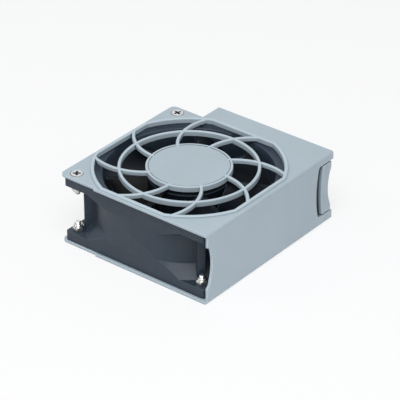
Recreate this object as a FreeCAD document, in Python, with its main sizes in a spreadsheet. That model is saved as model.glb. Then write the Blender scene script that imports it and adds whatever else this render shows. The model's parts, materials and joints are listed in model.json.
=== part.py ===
import FreeCAD, Part

# Hot-swap server fan module: a 92 x 92 x 38 mm axial fan screwed into a moulded
# U-shaped carrier.  The top plate holds a spiral finger guard, the side wall holds a
# finger notch at its front end and a sprung latch at its back end, and a web at the
# back holds the blind-mate connector.
#
# Frame: millimetres, +Z up.  The origin lies on the fan's axis, on the underside of the
# carrier's bottom plate.  +X points to the side wall and -Y to the front.  Air enters
# through the guard and leaves downwards.

import math
import os

import Sketcher
from FreeCAD import Placement, Rotation, Vector

doc = FreeCAD.newDocument("server_fan_module")


# ---------------------------------------------------------------- driving dimensions

DRIVING = {
    # carrier
    "plate_thick": 1.55,
    "wall_thick": 1.5,
    "wall_gap": 1.4,
    "wall_setback": 1.4,
    "left_margin": 2.2,
    "narrow_front": 0.8,
    "narrow_back": 0.2,
    "front_margin": 1.7,
    "back_room": 14.1,
    "front_step": 24.6,
    "back_step": 27.6,
    "plate_corner": 3.0,
    "wall_round": 1.2,
    "web_plate": 2.0,
    "rib_start": 15.0,
    "rib_length": 29.0,
    "rib_thick": 1.5,
    "rib_height": 6.0,
    # guard
    "mouth_inset": 1.0,
    "mouth_bulge": 4.3,
    "rim_width": 1.9,
    "guard_raise": 1.1,
    "guard_depth": 3.0,
    "spoke_depth": 2.4,
    "cover_radius": 22.8,
    "cover_thick": 1.8,
    "cover_skirt": 1.6,
    "cover_bevel": 1.2,
    "bevel_drop": 0.4,
    "ring_radius": 37.3,
    "ring_width": 1.7,
    "spoke_count": 8,
    "spoke_width": 1.8,
    "spoke_bend": 29.5,
    "spoke_centre_x": 20.7,
    "spoke_centre_y": 25.7,
    "spoke_inner_angle": 90.5,
    "spoke_outer_angle": 10.0,
    # finger notch at the wall's front end
    "notch_top": 8.2,
    "notch_bottom": 29.9,
    "notch_depth": 1.9,
    "notch_bend": 32.0,
    "notch_blend": 2.1,
    # latch window at the wall's back end
    "window_top": 4.6,
    "window_bottom": 35.8,
    "window_gap": 1.8,
    "window_bend": 60.0,
    # fan frame
    "fan_width": 92.0,
    "fan_depth": 38.0,
    "fan_corner": 1.5,
    "hole_margin": 4.75,
    "hole_width": 4.4,
    "bore_wall": 2.0,
    "bore_flare": 1.3,
    "flare_depth": 5.0,
    "seat_inset": 1.1,
    "seat_bulge": 4.0,
    "seat_depth": 1.0,
    "ear_thick": 5.3,
    "nut_room": 0.16,
    "duct_over": 3.0,
    "upper_cone": 5.0,
    "lower_cone": 6.2,
    "brace_thick": 4.3,
    "strut_count": 4,
    "strut_width": 3.2,
    "strut_depth": 5.0,
    "strut_recess": 2.0,
    "strut_lean": 9.0,
    "base_inset": 1.2,
    "base_thick": 2.0,
    "base_rim": 1.4,
    # rotor
    "blade_count": 7,
    "blade_thick": 2.2,
    "blade_gap": 0.8,
    "blade_top_gap": 1.8,
    "blade_low_gap": 0.4,
    "blade_root_sink": 3.0,
    "blade_root_chord": 11.0,
    "blade_tip_chord": 29.0,
    "blade_tip_shift": 3.0,
    "blade_root_bend": 34.0,
    "blade_tip_bend": 46.0,
    "hub_radius": 21.8,
    "hub_wall": 1.6,
    "hub_bevel": 1.4,
    "hub_gap": 1.4,
    "rotor_gap": 1.2,
    "yoke_wall": 1.2,
    "yoke_over": 1.0,
    "magnet_thick": 2.2,
    "magnet_height": 16.0,
    "shaft_radius": 2.0,
    "shaft_lift": 0.2,
    "bush_radius": 4.5,
    "bush_height": 8.0,
    "clip_thick": 0.6,
    "clip_radius": 3.4,
    "clip_grip": 0.4,
    "clip_opening": 2.6,
    # bearings and stator
    "bearing_outer": 5.0,
    "bearing_width": 4.0,
    "spring_height": 1.05,
    "bearing_lift": 1.6,
    "ball_radius": 0.78,
    "ball_count": 7,
    "ball_clear": 0.03,
    "race_wall": 0.85,
    "tube_wall": 1.25,
    "tube_over": 0.3,
    "spring_thick": 0.25,
    "spring_radius": 4.3,
    "spring_clear": 0.05,
    "air_gap": 0.45,
    "core_height": 11.0,
    "core_lift": 4.6,
    "core_ring": 3.0,
    "pole_count": 6,
    "pole_width": 3.4,
    "pole_tip": 1.8,
    "pole_slot": 2.2,
    "pole_sink": 0.5,
    "insulator": 0.8,
    "coil_build": 1.9,
    "coil_clear": 0.3,
    "board_thick": 1.2,
    "board_lift": 1.0,
    "board_edge_gap": 1.2,
    "board_hole_gap": 0.4,
    "post_radius": 1.3,
    "post_inset": 3.0,
    "chip_height": 1.1,
    # screws and nuts
    "screw_radius": 1.5,
    "shank_clear": 0.25,
    "head_clear": 0.15,
    "slot_long": 3.5,
    "slot_wide": 0.86,
    "slot_deep": 1.0,
    "head_radius": 3.2,
    "head_depth": 1.45,
    "screw_tip": 1.6,
    "nut_width": 5.5,
    "nut_height": 3.8,
    "nut_collar": 1.0,
    "collar_radius": 2.4,
    # latch
    "pivot_x": 4.0,
    "pivot_back": 8.0,
    "pivot_radius": 1.6,
    "pivot_length": 2.0,
    "pivot_clear": 0.05,
    "pivot_play": 0.3,
    "barrel_radius": 3.4,
    "boss_wall": 1.7,
    "boss_height": 2.4,
    "latch_clear": 0.8,
    "pad_thick": 2.8,
    "pad_gap": 5.2,
    "pad_reach": 12.6,
    "scoop_reach": 10.0,
    "pad_ear": 3.4,
    "pad_bend": 90.0,
    "arm_thick": 2.4,
    "arm_height": 20.0,
    "tooth_start": 33.0,
    "tooth_length": 6.0,
    "tooth_back": 16.0,
    "tooth_tip": 1.5,
    "tooth_height": 13.4,
    "stop_start": 12.0,
    "stop_width": 2.0,
    "stop_overlap": 2.0,
    "stop_clear": 0.2,
    "leaf_thick": 0.4,
    "leaf_height": 8.0,
    "leaf_seat": 6.0,
    "leaf_run": 14.0,
    "leaf_start": 8.0,
    "leaf_foot": 2.0,
    "leaf_clear": 0.05,
    # connector
    "connector_width": 9.6,
    "connector_height": 17.0,
    "connector_length": 15.0,
    "connector_reach": 4.0,
    "connector_low": 12.0,
    "connector_clear": 0.1,
    "flange_thick": 1.6,
    "flange_over": 1.2,
    "contact_count": 4,
    "contact_pitch": 3.8,
    "contact_width": 0.9,
    "socket_width": 2.2,
    "socket_depth": 6.0,
}

# name, width, depth and angle round the motor board
CHIPS = (
    ("driver", 5.0, 4.0, 0),
    ("sensor", 3.0, 2.0, 75),
    ("capacitor", 3.4, 2.6, 140),
    ("regulator", 3.0, 3.0, 205),
    ("resistor", 2.0, 1.2, 270),
    ("diode", 2.6, 1.6, 315),
)

sheet = doc.addObject("Spreadsheet::Sheet", "Sizes")
for row, (alias, number) in enumerate(DRIVING.items(), start=1):
    sheet.set("A%d" % row, alias)
    sheet.set("B%d" % row, "%g" % number)
    sheet.setAlias("B%d" % row, alias)
doc.recompute()


class Size:
    """A size as its present value and as the sheet expression that gives it."""

    def __init__(self, value, text):
        self.value = value
        self.text = text

    def __add__(self, other):
        other = as_size(other)
        return Size(self.value + other.value, "(%s + %s)" % (self.text, other.text))

    def __sub__(self, other):
        other = as_size(other)
        return Size(self.value - other.value, "(%s - %s)" % (self.text, other.text))

    def __mul__(self, other):
        other = as_size(other)
        return Size(self.value * other.value, "(%s * %s)" % (self.text, other.text))

    def __truediv__(self, other):
        other = as_size(other)
        return Size(self.value / other.value, "(%s / %s)" % (self.text, other.text))

    def __neg__(self):
        return Size(-self.value, "(0 - %s)" % self.text)

    def __rsub__(self, other):
        return as_size(other) - self

    def __rmul__(self, other):
        return as_size(other) * self

    def __rtruediv__(self, other):
        return as_size(other) / self

    def root(self):
        return Size(math.sqrt(self.value), "sqrt(%s)" % self.text)

    def cos(self):
        return Size(math.cos(math.radians(self.value)), "cos(%s * 1 deg)" % self.text)

    def sin(self):
        return Size(math.sin(math.radians(self.value)), "sin(%s * 1 deg)" % self.text)


def as_size(number):
    """Wraps a plain number, so that it can stand in an expression."""
    if isinstance(number, Size):
        return number
    return Size(float(number), "%g" % number)


def size(alias):
    """The size that the sheet holds under an alias."""
    return Size(float(sheet.get(alias)), "Sizes." + alias)


def bind(feature, prop, amount):
    feature.setExpression(prop, as_size(amount).text)


# ---------------------------------------------------------------- sketching and features

def new_body(label):
    body = doc.addObject("PartDesign::Body", label)
    body.Label = label
    body.AllowCompound = True
    return body


def origin_feature(body, role):
    return next(item for item in body.Origin.OriginFeatures if item.Role == role)


class Plan:
    """A sketch on one of its body's origin planes, lifted along that plane's normal."""

    def __init__(self, body, name, role="XY_Plane", lift=None, turn=None):
        self.body = body
        self.sketch = body.newObject("Sketcher::SketchObject", name)
        self.sketch.AttachmentSupport = [(origin_feature(body, role), "")]
        self.sketch.MapMode = "FlatFace"
        if turn is not None:
            self.sketch.AttachmentOffset = Placement(Vector(), Rotation(Vector(0, 0, 1), turn.value))
            bind(self.sketch, "AttachmentOffset.Rotation.Angle", turn)
        if lift is not None:
            bind(self.sketch, "AttachmentOffset.Base.z", lift)

    def hold(self, kind, *where, amount):
        amount = as_size(amount)
        row = self.sketch.addConstraint(Sketcher.Constraint(kind, *where, amount.value))
        self.sketch.setExpression("Constraints[%d]" % row, amount.text)

    def place(self, shape, end, x, y):
        for kind, axis, amount in (("DistanceX", -2, x), ("DistanceY", -1, y)):
            if isinstance(amount, Size):
                self.hold(kind, -1, 1, shape, end, amount=amount)
            else:
                on_axis = Sketcher.Constraint("PointOnObject", shape, end, axis)
                self.sketch.addConstraint(on_axis)

    def circle(self, x, y, radius):
        centre = Vector(as_size(x).value, as_size(y).value, 0)
        ring = Part.Circle(centre, Vector(0, 0, 1), radius.value)
        shape = self.sketch.addGeometry(ring, False)
        self.place(shape, 3, x, y)
        self.hold("Radius", shape, amount=radius)

    def outline(self, corners):
        """A closed outline.  A corner is (x, y), or (x, y, radius, side) where the edge
        that leaves it is an arc with its centre on the left (1) or right (-1) of it.
        A coordinate on an axis is the plain number 0."""
        spots = [Vector(as_size(c[0]).value, as_size(c[1]).value, 0) for c in corners]
        edges = []
        for corner, start, end in zip(corners, spots, spots[1:] + spots[:1]):
            if len(corner) == 2:
                shape = self.sketch.addGeometry(Part.LineSegment(start, end), False)
                edges.append((shape, 1, 2))
                continue
            radius, side = corner[2], corner[3]
            shape = self.sketch.addGeometry(arc_between(start, end, radius.value, side), False)
            edges.append((shape, 1, 2) if side > 0 else (shape, 2, 1))
            self.hold("Radius", shape, amount=radius)
        for corner, edge, before in zip(corners, edges, edges[-1:] + edges[:-1]):
            joint = Sketcher.Constraint("Coincident", before[0], before[2], edge[0], edge[1])
            self.sketch.addConstraint(joint)
            self.place(edge[0], edge[1], corner[0], corner[1])

    def box(self, x0, y0, x1, y1):
        self.outline([(x0, y0), (x1, y0), (x1, y1), (x0, y1)])

    def mouth(self, flat, reach):
        """A square cut by a circle, both centred on the fan's axis."""
        side = (reach * reach - flat * flat).root()
        self.outline([
            (flat, -side), (flat, side, reach, 1), (side, flat), (-side, flat, reach, 1),
            (-flat, side), (-flat, -side, reach, 1), (-side, -flat), (side, -flat, reach, 1),
        ])


def arc_between(start, end, radius, side):
    """The short arc from start to end, with its centre on the given side."""
    chord = end - start
    rise = math.sqrt(max(radius ** 2 - (chord.Length / 2) ** 2, 0))
    left = Vector(-chord.y, chord.x, 0).normalize()
    centre = start + chord * 0.5 + left * rise * side
    first, last = (start, end) if side > 0 else (end, start)
    angles = [math.atan2(spot.y - centre.y, spot.x - centre.x) for spot in (first, last)]
    if angles[1] < angles[0]:
        angles[1] += 2 * math.pi
    return Part.ArcOfCircle(Part.Circle(centre, Vector(0, 0, 1), radius), *angles)


def extrude(kind, plan, name, length, back=False):
    """A Pad or a Pocket of the plan, over a length or, for None, through everything."""
    feature = plan.body.newObject("PartDesign::" + kind, name)
    feature.Profile = plan.sketch
    if length is None:
        feature.Type = "ThroughAll"
    else:
        bind(feature, "Length", length)
    feature.Reversed = back
    plan.sketch.Visibility = False
    return feature


def spin(kind, plan, name):
    """A Revolution or a Groove of the plan about its vertical axis."""
    feature = plan.body.newObject("PartDesign::" + kind, name)
    feature.Profile = plan.sketch
    feature.ReferenceAxis = (plan.sketch, ["V_Axis"])
    feature.Angle = 360
    plan.sketch.Visibility = False
    return feature


def turn_copies(body, name, features, count):
    """Copies of the features, evenly spaced about the fan's axis."""
    pattern = body.newObject("PartDesign::PolarPattern", name)
    pattern.Originals = features
    pattern.Axis = (origin_feature(body, "Z_Axis"), [""])
    pattern.Angle = 360
    bind(pattern, "Occurrences", count)
    body.Tip = pattern
    return pattern


def primitive(body, kind, name, x, y, z, **amounts):
    """An additive or subtractive primitive of the body, with its sizes and place bound."""
    feature = body.newObject("PartDesign::" + kind, name)
    for prop, amount in amounts.items():
        bind(feature, prop, amount)
    for axis, amount in (("x", x), ("y", y), ("z", z)):
        bind(feature, "Placement.Base." + axis, amount)
    return feature


def mirror_copy(body, name, features, role):
    mirrored = body.newObject("PartDesign::Mirrored", name)
    mirrored.Originals = features
    mirrored.MirrorPlane = (origin_feature(body, role), [""])
    body.Tip = mirrored
    return mirrored


def edges_where(feature, wanted):
    """Names of the feature's edges that a test on the edge picks out."""
    doc.recompute()
    rows = enumerate(feature.Shape.Edges, start=1)
    return ["Edge%d" % row for row, edge in rows if wanted(edge)]


def soften(kind, body, name, feature, wanted, amount):
    """A Fillet or a Chamfer on the edges that the test picks out."""
    names = edges_where(feature, wanted)
    softened = body.newObject("PartDesign::" + kind, name)
    softened.Base = (feature, names)
    bind(softened, "Radius" if kind == "Fillet" else "Size", amount)
    return softened


def upright(edge):
    box = edge.BoundBox
    return box.XLength < 0.001 and box.YLength < 0.001


def near(number, target, slack=0.02):
    return abs(number - as_size(target).value) < slack


# ---------------------------------------------------------------- shared levels

fan_bottom = size("plate_thick")
fan_top = fan_bottom + size("fan_depth")
module_top = fan_top + size("plate_thick")
guard_top = module_top + size("guard_raise")
guard_bottom = guard_top - size("guard_depth")
strut_bottom = fan_bottom + size("strut_recess")
strut_top = strut_bottom + size("strut_depth")
base_top = strut_bottom + size("base_thick")
hub_top = guard_bottom - size("hub_gap")
hub_bottom = strut_top + size("rotor_gap")
blade_top = guard_bottom - size("blade_top_gap")
yoke_top = hub_top - size("hub_wall")
fan_back = size("fan_width") / 2
wall_outer = fan_back + size("wall_gap") + size("wall_thick")
wall_inner = fan_back + size("wall_gap")
hole_offset = fan_back - size("hole_margin")
left_edge = -size("fan_width") / 2 - size("left_margin")
front_edge = -size("fan_width") / 2 - size("front_margin")
narrow_front = -size("fan_width") / 2 - size("narrow_front")
narrow_back = fan_back + size("narrow_back")
back_reach = fan_back + size("back_room")
window_edge = fan_back + size("window_gap")
pivot_y = fan_back + size("pivot_back")
pad_front = fan_back + size("pad_gap")
pad_back = fan_back + size("pad_reach")
pad_scoop = fan_back + size("scoop_reach")
tooth_reach = fan_back + size("tooth_back")
wall_front = front_edge + size("wall_setback")
mouth_flat = fan_back - size("mouth_inset")
mouth_round = mouth_flat + size("mouth_bulge")
bore_radius = fan_back - size("bore_wall")
duct_radius = fan_back + size("duct_over")
base_radius = size("hub_radius") - size("base_inset")
board_radius = base_radius - size("base_rim") - size("board_edge_gap")
overcut = 1.0  # how far a cut reaches past the face that it starts from
tube_radius = size("bearing_outer") + size("tube_wall")
yoke_radius = size("hub_radius") - size("hub_wall")
magnet_outer = yoke_radius - size("yoke_wall")
magnet_inner = magnet_outer - size("magnet_thick")
core_radius = magnet_inner - size("air_gap")


# ---------------------------------------------------------------- carrier

def plate_outline(plan):
    front_step, back_step, back = -size("front_step"), -size("back_step"), back_reach
    plan.outline([
        (left_edge, narrow_front), (front_step, narrow_front), (front_step, front_edge),
        (wall_outer, front_edge), (wall_outer, back), (back_step, back),
        (back_step, narrow_back), (left_edge, narrow_back),
    ])


def make_carrier():
    body = new_body("carrier_shell")

    # spiral guard: hub cover, spokes, ring; the spokes are trimmed just outside the mouth
    cover, bevel = Plan(body, "cover_profile", "XZ_Plane"), size("cover_bevel")
    cover.outline([
        (0, guard_bottom), (size("cover_radius"), guard_bottom),
        (size("cover_radius"), guard_top - size("bevel_drop")),
        (size("cover_radius") - bevel, guard_top), (0, guard_top),
    ])
    spin("Revolution", cover, "hub_cover")
    spoke = Plan(body, "spoke_plan", lift=guard_top - size("spoke_depth"))
    inner, outer = size("spoke_inner_angle"), size("spoke_outer_angle")
    near_edge = size("spoke_bend") - size("spoke_width") / 2
    far_edge = size("spoke_bend") + size("spoke_width") / 2
    centre_x, centre_y = size("spoke_centre_x"), -size("spoke_centre_y")
    spoke.outline([
        (centre_x + far_edge * inner.cos(), centre_y + far_edge * inner.sin(), far_edge, -1),
        (centre_x + far_edge * outer.cos(), centre_y + far_edge * outer.sin()),
        (centre_x + near_edge * outer.cos(), centre_y + near_edge * outer.sin(), near_edge, 1),
        (centre_x + near_edge * inner.cos(), centre_y + near_edge * inner.sin()),
    ])
    first_spoke = extrude("Pad", spoke, "spoke", size("spoke_depth"))
    turn_copies(body, "spokes", [first_spoke], size("spoke_count"))
    ring = Plan(body, "ring_plan", lift=guard_bottom)
    ring.circle(0, 0, size("ring_radius"))
    ring.circle(0, 0, size("ring_radius") - size("ring_width"))
    extrude("Pad", ring, "guard_ring", size("guard_depth"))
    hollow = Plan(body, "hollow_plan", lift=guard_bottom)
    hollow.circle(0, 0, size("cover_radius") - size("cover_skirt"))
    extrude("Pocket", hollow, "cover_hollow", size("guard_depth") - size("cover_thick"), back=True)
    trim = Plan(body, "trim_plan", lift=guard_bottom)
    trim.circle(0, 0, size("fan_width"))
    half_rim = size("rim_width") / 2
    trim.mouth(mouth_flat + half_rim, mouth_round + half_rim)
    extrude("Pocket", trim, "spoke_trim", size("guard_depth"), back=True)

    # the U: two plates with the fan's mouth in them, and the side wall
    upper = Plan(body, "top_plan", lift=fan_top)
    plate_outline(upper)
    upper.mouth(mouth_flat, mouth_round)
    extrude("Pad", upper, "top_plate", size("plate_thick"))
    lower = Plan(body, "bottom_plan")
    plate_outline(lower)
    lower.mouth(mouth_flat, mouth_round)
    extrude("Pad", lower, "bottom_plate", size("plate_thick"))
    wall = Plan(body, "wall_plan")
    wall.box(wall_inner, wall_front, wall_outer, back_reach)
    extrude("Pad", wall, "side_wall", module_top)
    web = Plan(body, "web_plan")
    step = -size("back_step")
    web.box(step, narrow_back, step + size("web_plate"), back_reach)
    extrude("Pad", web, "connector_web", module_top)
    for name, level in (("lower", fan_bottom), ("upper", fan_top - size("rib_height"))):
        primitive(body, "AdditiveBox", name + "_rib", size("rib_start"),
                  back_reach - size("rib_thick"), level, Length=size("rib_length"),
                  Width=size("rib_thick"), Height=size("rib_height"))

    # raised lip round the mouth
    lip = Plan(body, "lip_plan", lift=module_top)
    lip.mouth(mouth_flat + size("rim_width"), mouth_round + size("rim_width"))
    lip.mouth(mouth_flat, mouth_round)
    extrude("Pad", lip, "mouth_lip", size("guard_raise"))

    # latch pivot: a socket on each plate, and a post on each that stops the arm at rest
    stop_high = (size("fan_depth") - size("arm_height")) / 2 + size("stop_overlap")
    stop_back = pivot_y + size("arm_thick") / 2 + size("stop_clear")
    pivot, width = size("pivot_radius"), size("stop_width")
    levels = (("lower", fan_bottom, fan_bottom),
              ("upper", fan_top - size("boss_height"), fan_top - stop_high))
    for name, level, stop_low in levels:
        boss = Plan(body, name + "_boss_plan", lift=level)
        boss.circle(size("pivot_x"), pivot_y, pivot + size("boss_wall"))
        boss.circle(size("pivot_x"), pivot_y, pivot + size("pivot_clear"))
        extrude("Pad", boss, name + "_pivot_boss", size("boss_height"))
        primitive(body, "AdditiveBox", name + "_stop", size("stop_start"), stop_back, stop_low,
                  Length=width, Width=width, Height=stop_high)

    # finger notch in the wall's front edge, and the latch's window in its back edge
    beyond, through = wall_outer + overcut, size("wall_thick") + overcut * 2
    top, low = module_top - size("notch_top"), module_top - size("notch_bottom")
    edge, past_front = wall_front + size("notch_depth"), wall_front - overcut
    blend, run = size("notch_blend"), size("notch_depth") / 2
    drop = (blend * blend - (blend - run) * (blend - run)).root()
    notch = Plan(body, "notch_plan", "YZ_Plane", beyond)
    notch.outline([
        (past_front, top), (edge, top, size("notch_bend"), -1), (edge, low, blend, -1),
        (edge - run, low - drop, blend, 1), (wall_front, low - drop * 2),
        (past_front, low - drop * 2),
    ])
    extrude("Pocket", notch, "finger_notch", through)
    window = Plan(body, "window_plan", "YZ_Plane", beyond)
    high, deep = module_top - size("window_top"), module_top - size("window_bottom")
    past_back = back_reach + overcut
    window.outline([
        (past_back, high), (window_edge, high, size("window_bend"), 1),
        (window_edge, deep), (past_back, deep),
    ])
    extrude("Pocket", window, "latch_window", through)

    # connector window in the web
    opening = Plan(body, "connector_plan", "YZ_Plane", step - overcut)
    side = connector_side()
    low_edge = size("connector_low")
    opening.box(side, low_edge, side + size("connector_width"),
                low_edge + size("connector_height"))
    extrude("Pocket", opening, "connector_window", size("web_plate") + overcut * 2, back=True)

    last = cut_screw_holes(body)
    last = soften("Fillet", body, "wall_rounds", last, is_wall_edge, size("wall_round"))
    soften("Fillet", body, "plate_corners", last, is_plate_corner, size("plate_corner"))


def is_wall_edge(edge):
    """The long top and bottom edges of the side wall's outer face."""
    box = edge.BoundBox
    at_level = near(box.ZMin, module_top) or near(box.ZMin, 0)
    long_edge = box.YLength > size("fan_width").value / 2 and near(box.ZLength, 0)
    return at_level and long_edge and near(box.XMin, wall_outer) and near(box.XMax, wall_outer)


def is_plate_corner(edge):
    """The free corners of both plates, on the side away from the wall."""
    return upright(edge) and near(edge.BoundBox.XMin, left_edge)


def connector_side():
    """The connector stands in the middle of the web."""
    return (fan_back + back_reach - size("connector_width")) / 2


def cut_screw_holes(body):
    """Countersunk holes: four in the bottom plate and two in the top plate's free side."""
    shank = size("screw_radius") + size("shank_clear")
    mouth = size("head_radius") + size("head_clear")
    depth, plate = size("head_depth"), size("plate_thick")
    spot = (-hole_offset, -hole_offset)
    hole = primitive(body, "SubtractiveCylinder", "bottom_hole", *spot, 0,
                     Radius=shank, Height=plate)
    sink = primitive(body, "SubtractiveCone", "bottom_countersink", *spot, 0,
                     Radius1=mouth, Radius2=shank, Height=depth)
    turn_copies(body, "bottom_holes", [hole, sink], 4)
    hole = primitive(body, "SubtractiveCylinder", "top_hole", *spot, fan_top,
                     Radius=shank, Height=plate)
    sink = primitive(body, "SubtractiveCone", "top_countersink", *spot, module_top - depth,
                     Radius1=shank, Radius2=mouth, Height=depth)
    return mirror_copy(body, "top_holes", [hole, sink], "XZ_Plane")


# ---------------------------------------------------------------- fan frame

def make_fan_frame():
    body = new_body("fan_frame")
    low, high, ear = fan_bottom, fan_top, size("ear_thick")
    half = size("fan_width") / 2
    past = half * 2 ** 0.5 + overcut  # beyond the square's corners
    cone = hole_offset * 2 ** 0.5 - size("nut_width") / 3 ** 0.5 - size("nut_room")
    duct = duct_radius
    shell = Plan(body, "shell_profile", "XZ_Plane")
    shell.outline([
        (0, low), (past, low), (past, low + ear), (cone, low + ear),
        (duct, low + ear + size("lower_cone")), (duct, high - ear - size("upper_cone")),
        (cone, high - ear), (past, high - ear), (past, high), (0, high),
    ])
    spin("Revolution", shell, "shell")
    brace = Plan(body, "brace_plan", lift=low)
    start, end = (bore_radius + duct) / 2, cone
    reach, span = 2 ** 0.5, size("brace_thick") / 2
    brace.outline([
        ((start + span) / reach, (start - span) / reach),
        ((end + span) / reach, (end - span) / reach),
        ((end - span) / reach, (end + span) / reach),
        ((start - span) / reach, (start + span) / reach),
    ])
    turn_copies(body, "braces", [extrude("Pad", brace, "brace", size("fan_depth"))], 4)
    outside = Plan(body, "outside_plan", lift=low)
    outside.circle(0, 0, half * 2)
    straight, bend = half - size("fan_corner"), size("fan_corner")
    outside.outline([
        (half, -straight), (half, straight, bend, 1), (straight, half),
        (-straight, half, bend, 1), (-half, straight), (-half, -straight, bend, 1),
        (-straight, -half), (straight, -half, bend, 1),
    ])
    extrude("Pocket", outside, "square_sides", size("fan_depth"), back=True)

    # the bore, flared at both ends, and the recess under the guard
    bore, flared = bore_radius, bore_radius + size("bore_flare")
    run, seat = size("flare_depth"), high - size("seat_depth")
    duct_cut = Plan(body, "bore_profile", "XZ_Plane")
    duct_cut.outline([
        (0, low - overcut), (flared, low - overcut), (flared, low), (bore, low + run),
        (bore, seat - run), (flared, seat), (flared, high + overcut), (0, high + overcut),
    ])
    spin("Groove", duct_cut, "bore")
    recess = Plan(body, "recess_plan", lift=seat)
    seat_flat = half - size("seat_inset")
    recess.mouth(seat_flat, seat_flat + size("seat_bulge"))
    extrude("Pocket", recess, "guard_recess", size("seat_depth"), back=True)

    # motor base: a shallow cup on leaning struts, with the bearing tube's boss
    inner = base_radius - size("base_rim")
    floor = Plan(body, "base_plan", lift=strut_bottom)
    floor.circle(0, 0, base_radius)
    floor.circle(0, 0, tube_radius)
    extrude("Pad", floor, "motor_base", size("base_thick"))
    rim = Plan(body, "base_rim_plan", lift=strut_bottom)
    rim.circle(0, 0, base_radius)
    rim.circle(0, 0, inner)
    rim.circle(0, 0, tube_radius + size("base_rim"))
    rim.circle(0, 0, tube_radius)
    extrude("Pad", rim, "base_walls", size("strut_depth"))
    strut = Plan(body, "strut_plan", lift=strut_bottom)
    width, lean = size("strut_width") / 2, size("strut_lean")
    root = base_radius - size("base_rim") / 2
    strut.outline([(root, -width), (flared, lean - width), (flared, lean + width), (root, width)])
    first = extrude("Pad", strut, "strut", size("strut_depth"))
    turn_copies(body, "struts", [first], size("strut_count"))
    post = primitive(body, "AdditiveCylinder", "board_post",
                     board_radius - size("post_inset"), 0, base_top,
                     Radius=size("post_radius"), Height=size("board_lift"))
    turn_copies(body, "board_posts", [post], 3)
    hole = primitive(body, "SubtractiveCylinder", "screw_hole", hole_offset, hole_offset, low,
                     Radius=size("hole_width") / 2, Height=size("fan_depth"))
    turn_copies(body, "screw_holes", [hole], 4)


# ---------------------------------------------------------------- rotor

def blade_section(body, name, reach, chord, bend, shift):
    """A curved strip that runs from the leading edge at the top to the trailing edge."""
    section = Plan(body, name, "YZ_Plane", reach)
    lead, trail, thick = shift + chord / 2, shift - chord / 2, size("blade_thick")
    low = hub_bottom + size("blade_low_gap")
    section.outline([
        (lead, blade_top, bend, 1), (trail, low), (trail + thick, low, bend, -1),
        (lead + thick, blade_top),
    ])
    section.sketch.Visibility = False
    return section.sketch


def make_impeller():
    body = new_body("impeller")
    outer, edge = size("hub_radius"), size("hub_bevel")
    hub = Plan(body, "hub_profile", "XZ_Plane")
    hub.outline([
        (0, hub_bottom), (outer, hub_bottom), (outer, hub_top - edge), (outer - edge, hub_top),
        (0, hub_top),
    ])
    spin("Revolution", hub, "hub")
    tip = bore_radius - size("blade_gap")
    root_chord, tip_chord = size("blade_root_chord"), size("blade_tip_chord")
    root_bend, tip_bend = size("blade_root_bend"), size("blade_tip_bend")
    shift, thick = size("blade_tip_shift"), size("blade_thick")
    sink = size("blade_root_sink")
    root = blade_section(body, "blade_root", outer - sink, root_chord, root_bend, -thick / 2)
    middle = blade_section(body, "blade_middle", (outer + tip) / 2, (root_chord + tip_chord) / 2,
                           (root_bend + tip_bend) / 2, (shift - thick) / 2)
    end = blade_section(body, "blade_tip", tip + sink, tip_chord, tip_bend, shift - thick / 2)
    blade = body.newObject("PartDesign::AdditiveLoft", "blade")
    blade.Profile = root
    blade.Sections = [middle, end]
    blade.Ruled = True
    turn_copies(body, "blades", [blade], size("blade_count"))
    cup = Plan(body, "cup_profile", "XZ_Plane")
    cup.outline([
        (0, hub_bottom - overcut), (yoke_radius, hub_bottom - overcut), (yoke_radius, yoke_top),
        (0, yoke_top),
    ])
    spin("Groove", cup, "hub_cup")
    sweep = Plan(body, "tip_profile", "XZ_Plane")
    sweep.box(tip, hub_bottom - overcut, size("fan_width"), hub_top + overcut)
    trim = spin("Groove", sweep, "tip_sweep")
    trim.Refine = False


def make_ring(label, inner, outer, low, high):
    """A plain turned ring, or a rod where the inner radius is 0."""
    body = new_body(label)
    profile = Plan(body, label + "_profile", "XZ_Plane")
    profile.box(inner, low, outer, high)
    spin("Revolution", profile, label + "_turned")
    return body


core_low = base_top + size("board_lift") + size("board_thick") + size("core_lift")
core_high = core_low + size("core_height")
core_middle = core_low + size("core_height") / 2
lower_seat = strut_bottom + size("bearing_lift")
spring_high = yoke_top - size("bush_height")
spring_low = spring_high - size("spring_height")
upper_seat = spring_low - size("bearing_width")


def make_rotor_parts():
    wall, half = size("yoke_wall"), size("magnet_height") / 2
    low = core_middle - half - size("yoke_over")
    yoke = new_body("rotor_yoke")
    cup = Plan(yoke, "yoke_profile", "XZ_Plane")
    cup.outline([
        (magnet_outer, low), (yoke_radius, low), (yoke_radius, yoke_top),
        (size("bush_radius"), yoke_top), (size("bush_radius"), yoke_top - wall),
        (magnet_outer, yoke_top - wall),
    ])
    spin("Revolution", cup, "yoke_cup")
    make_ring("magnet_ring", magnet_inner, magnet_outer, core_middle - half, core_middle + half)
    make_ring("rotor_bush", size("shaft_radius"), size("bush_radius"), spring_high, yoke_top)

    clip_low = lower_seat - size("clip_thick")
    waist = size("shaft_radius") - size("clip_grip")
    shaft = new_body("rotor_shaft")
    rod = Plan(shaft, "shaft_profile", "XZ_Plane")
    radius, foot = size("shaft_radius"), strut_bottom + size("shaft_lift")
    rod.outline([
        (0, foot), (radius, foot), (radius, clip_low),
        (waist, clip_low), (waist, lower_seat), (radius, lower_seat), (radius, yoke_top),
        (0, yoke_top),
    ])
    spin("Revolution", rod, "shaft_turned")
    clip = new_body("shaft_clip")
    plan = Plan(clip, "clip_plan", lift=clip_low)
    plan.circle(0, 0, size("clip_radius"))
    plan.circle(0, 0, waist)
    extrude("Pad", plan, "clip_ring", size("clip_thick"))
    slot = Plan(clip, "clip_slot_plan", lift=clip_low)
    opening = size("clip_opening") / 2
    slot.box(waist / 2, -opening, size("clip_radius") + overcut, opening)
    extrude("Pocket", slot, "clip_slot", size("clip_thick"), back=True)


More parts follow.
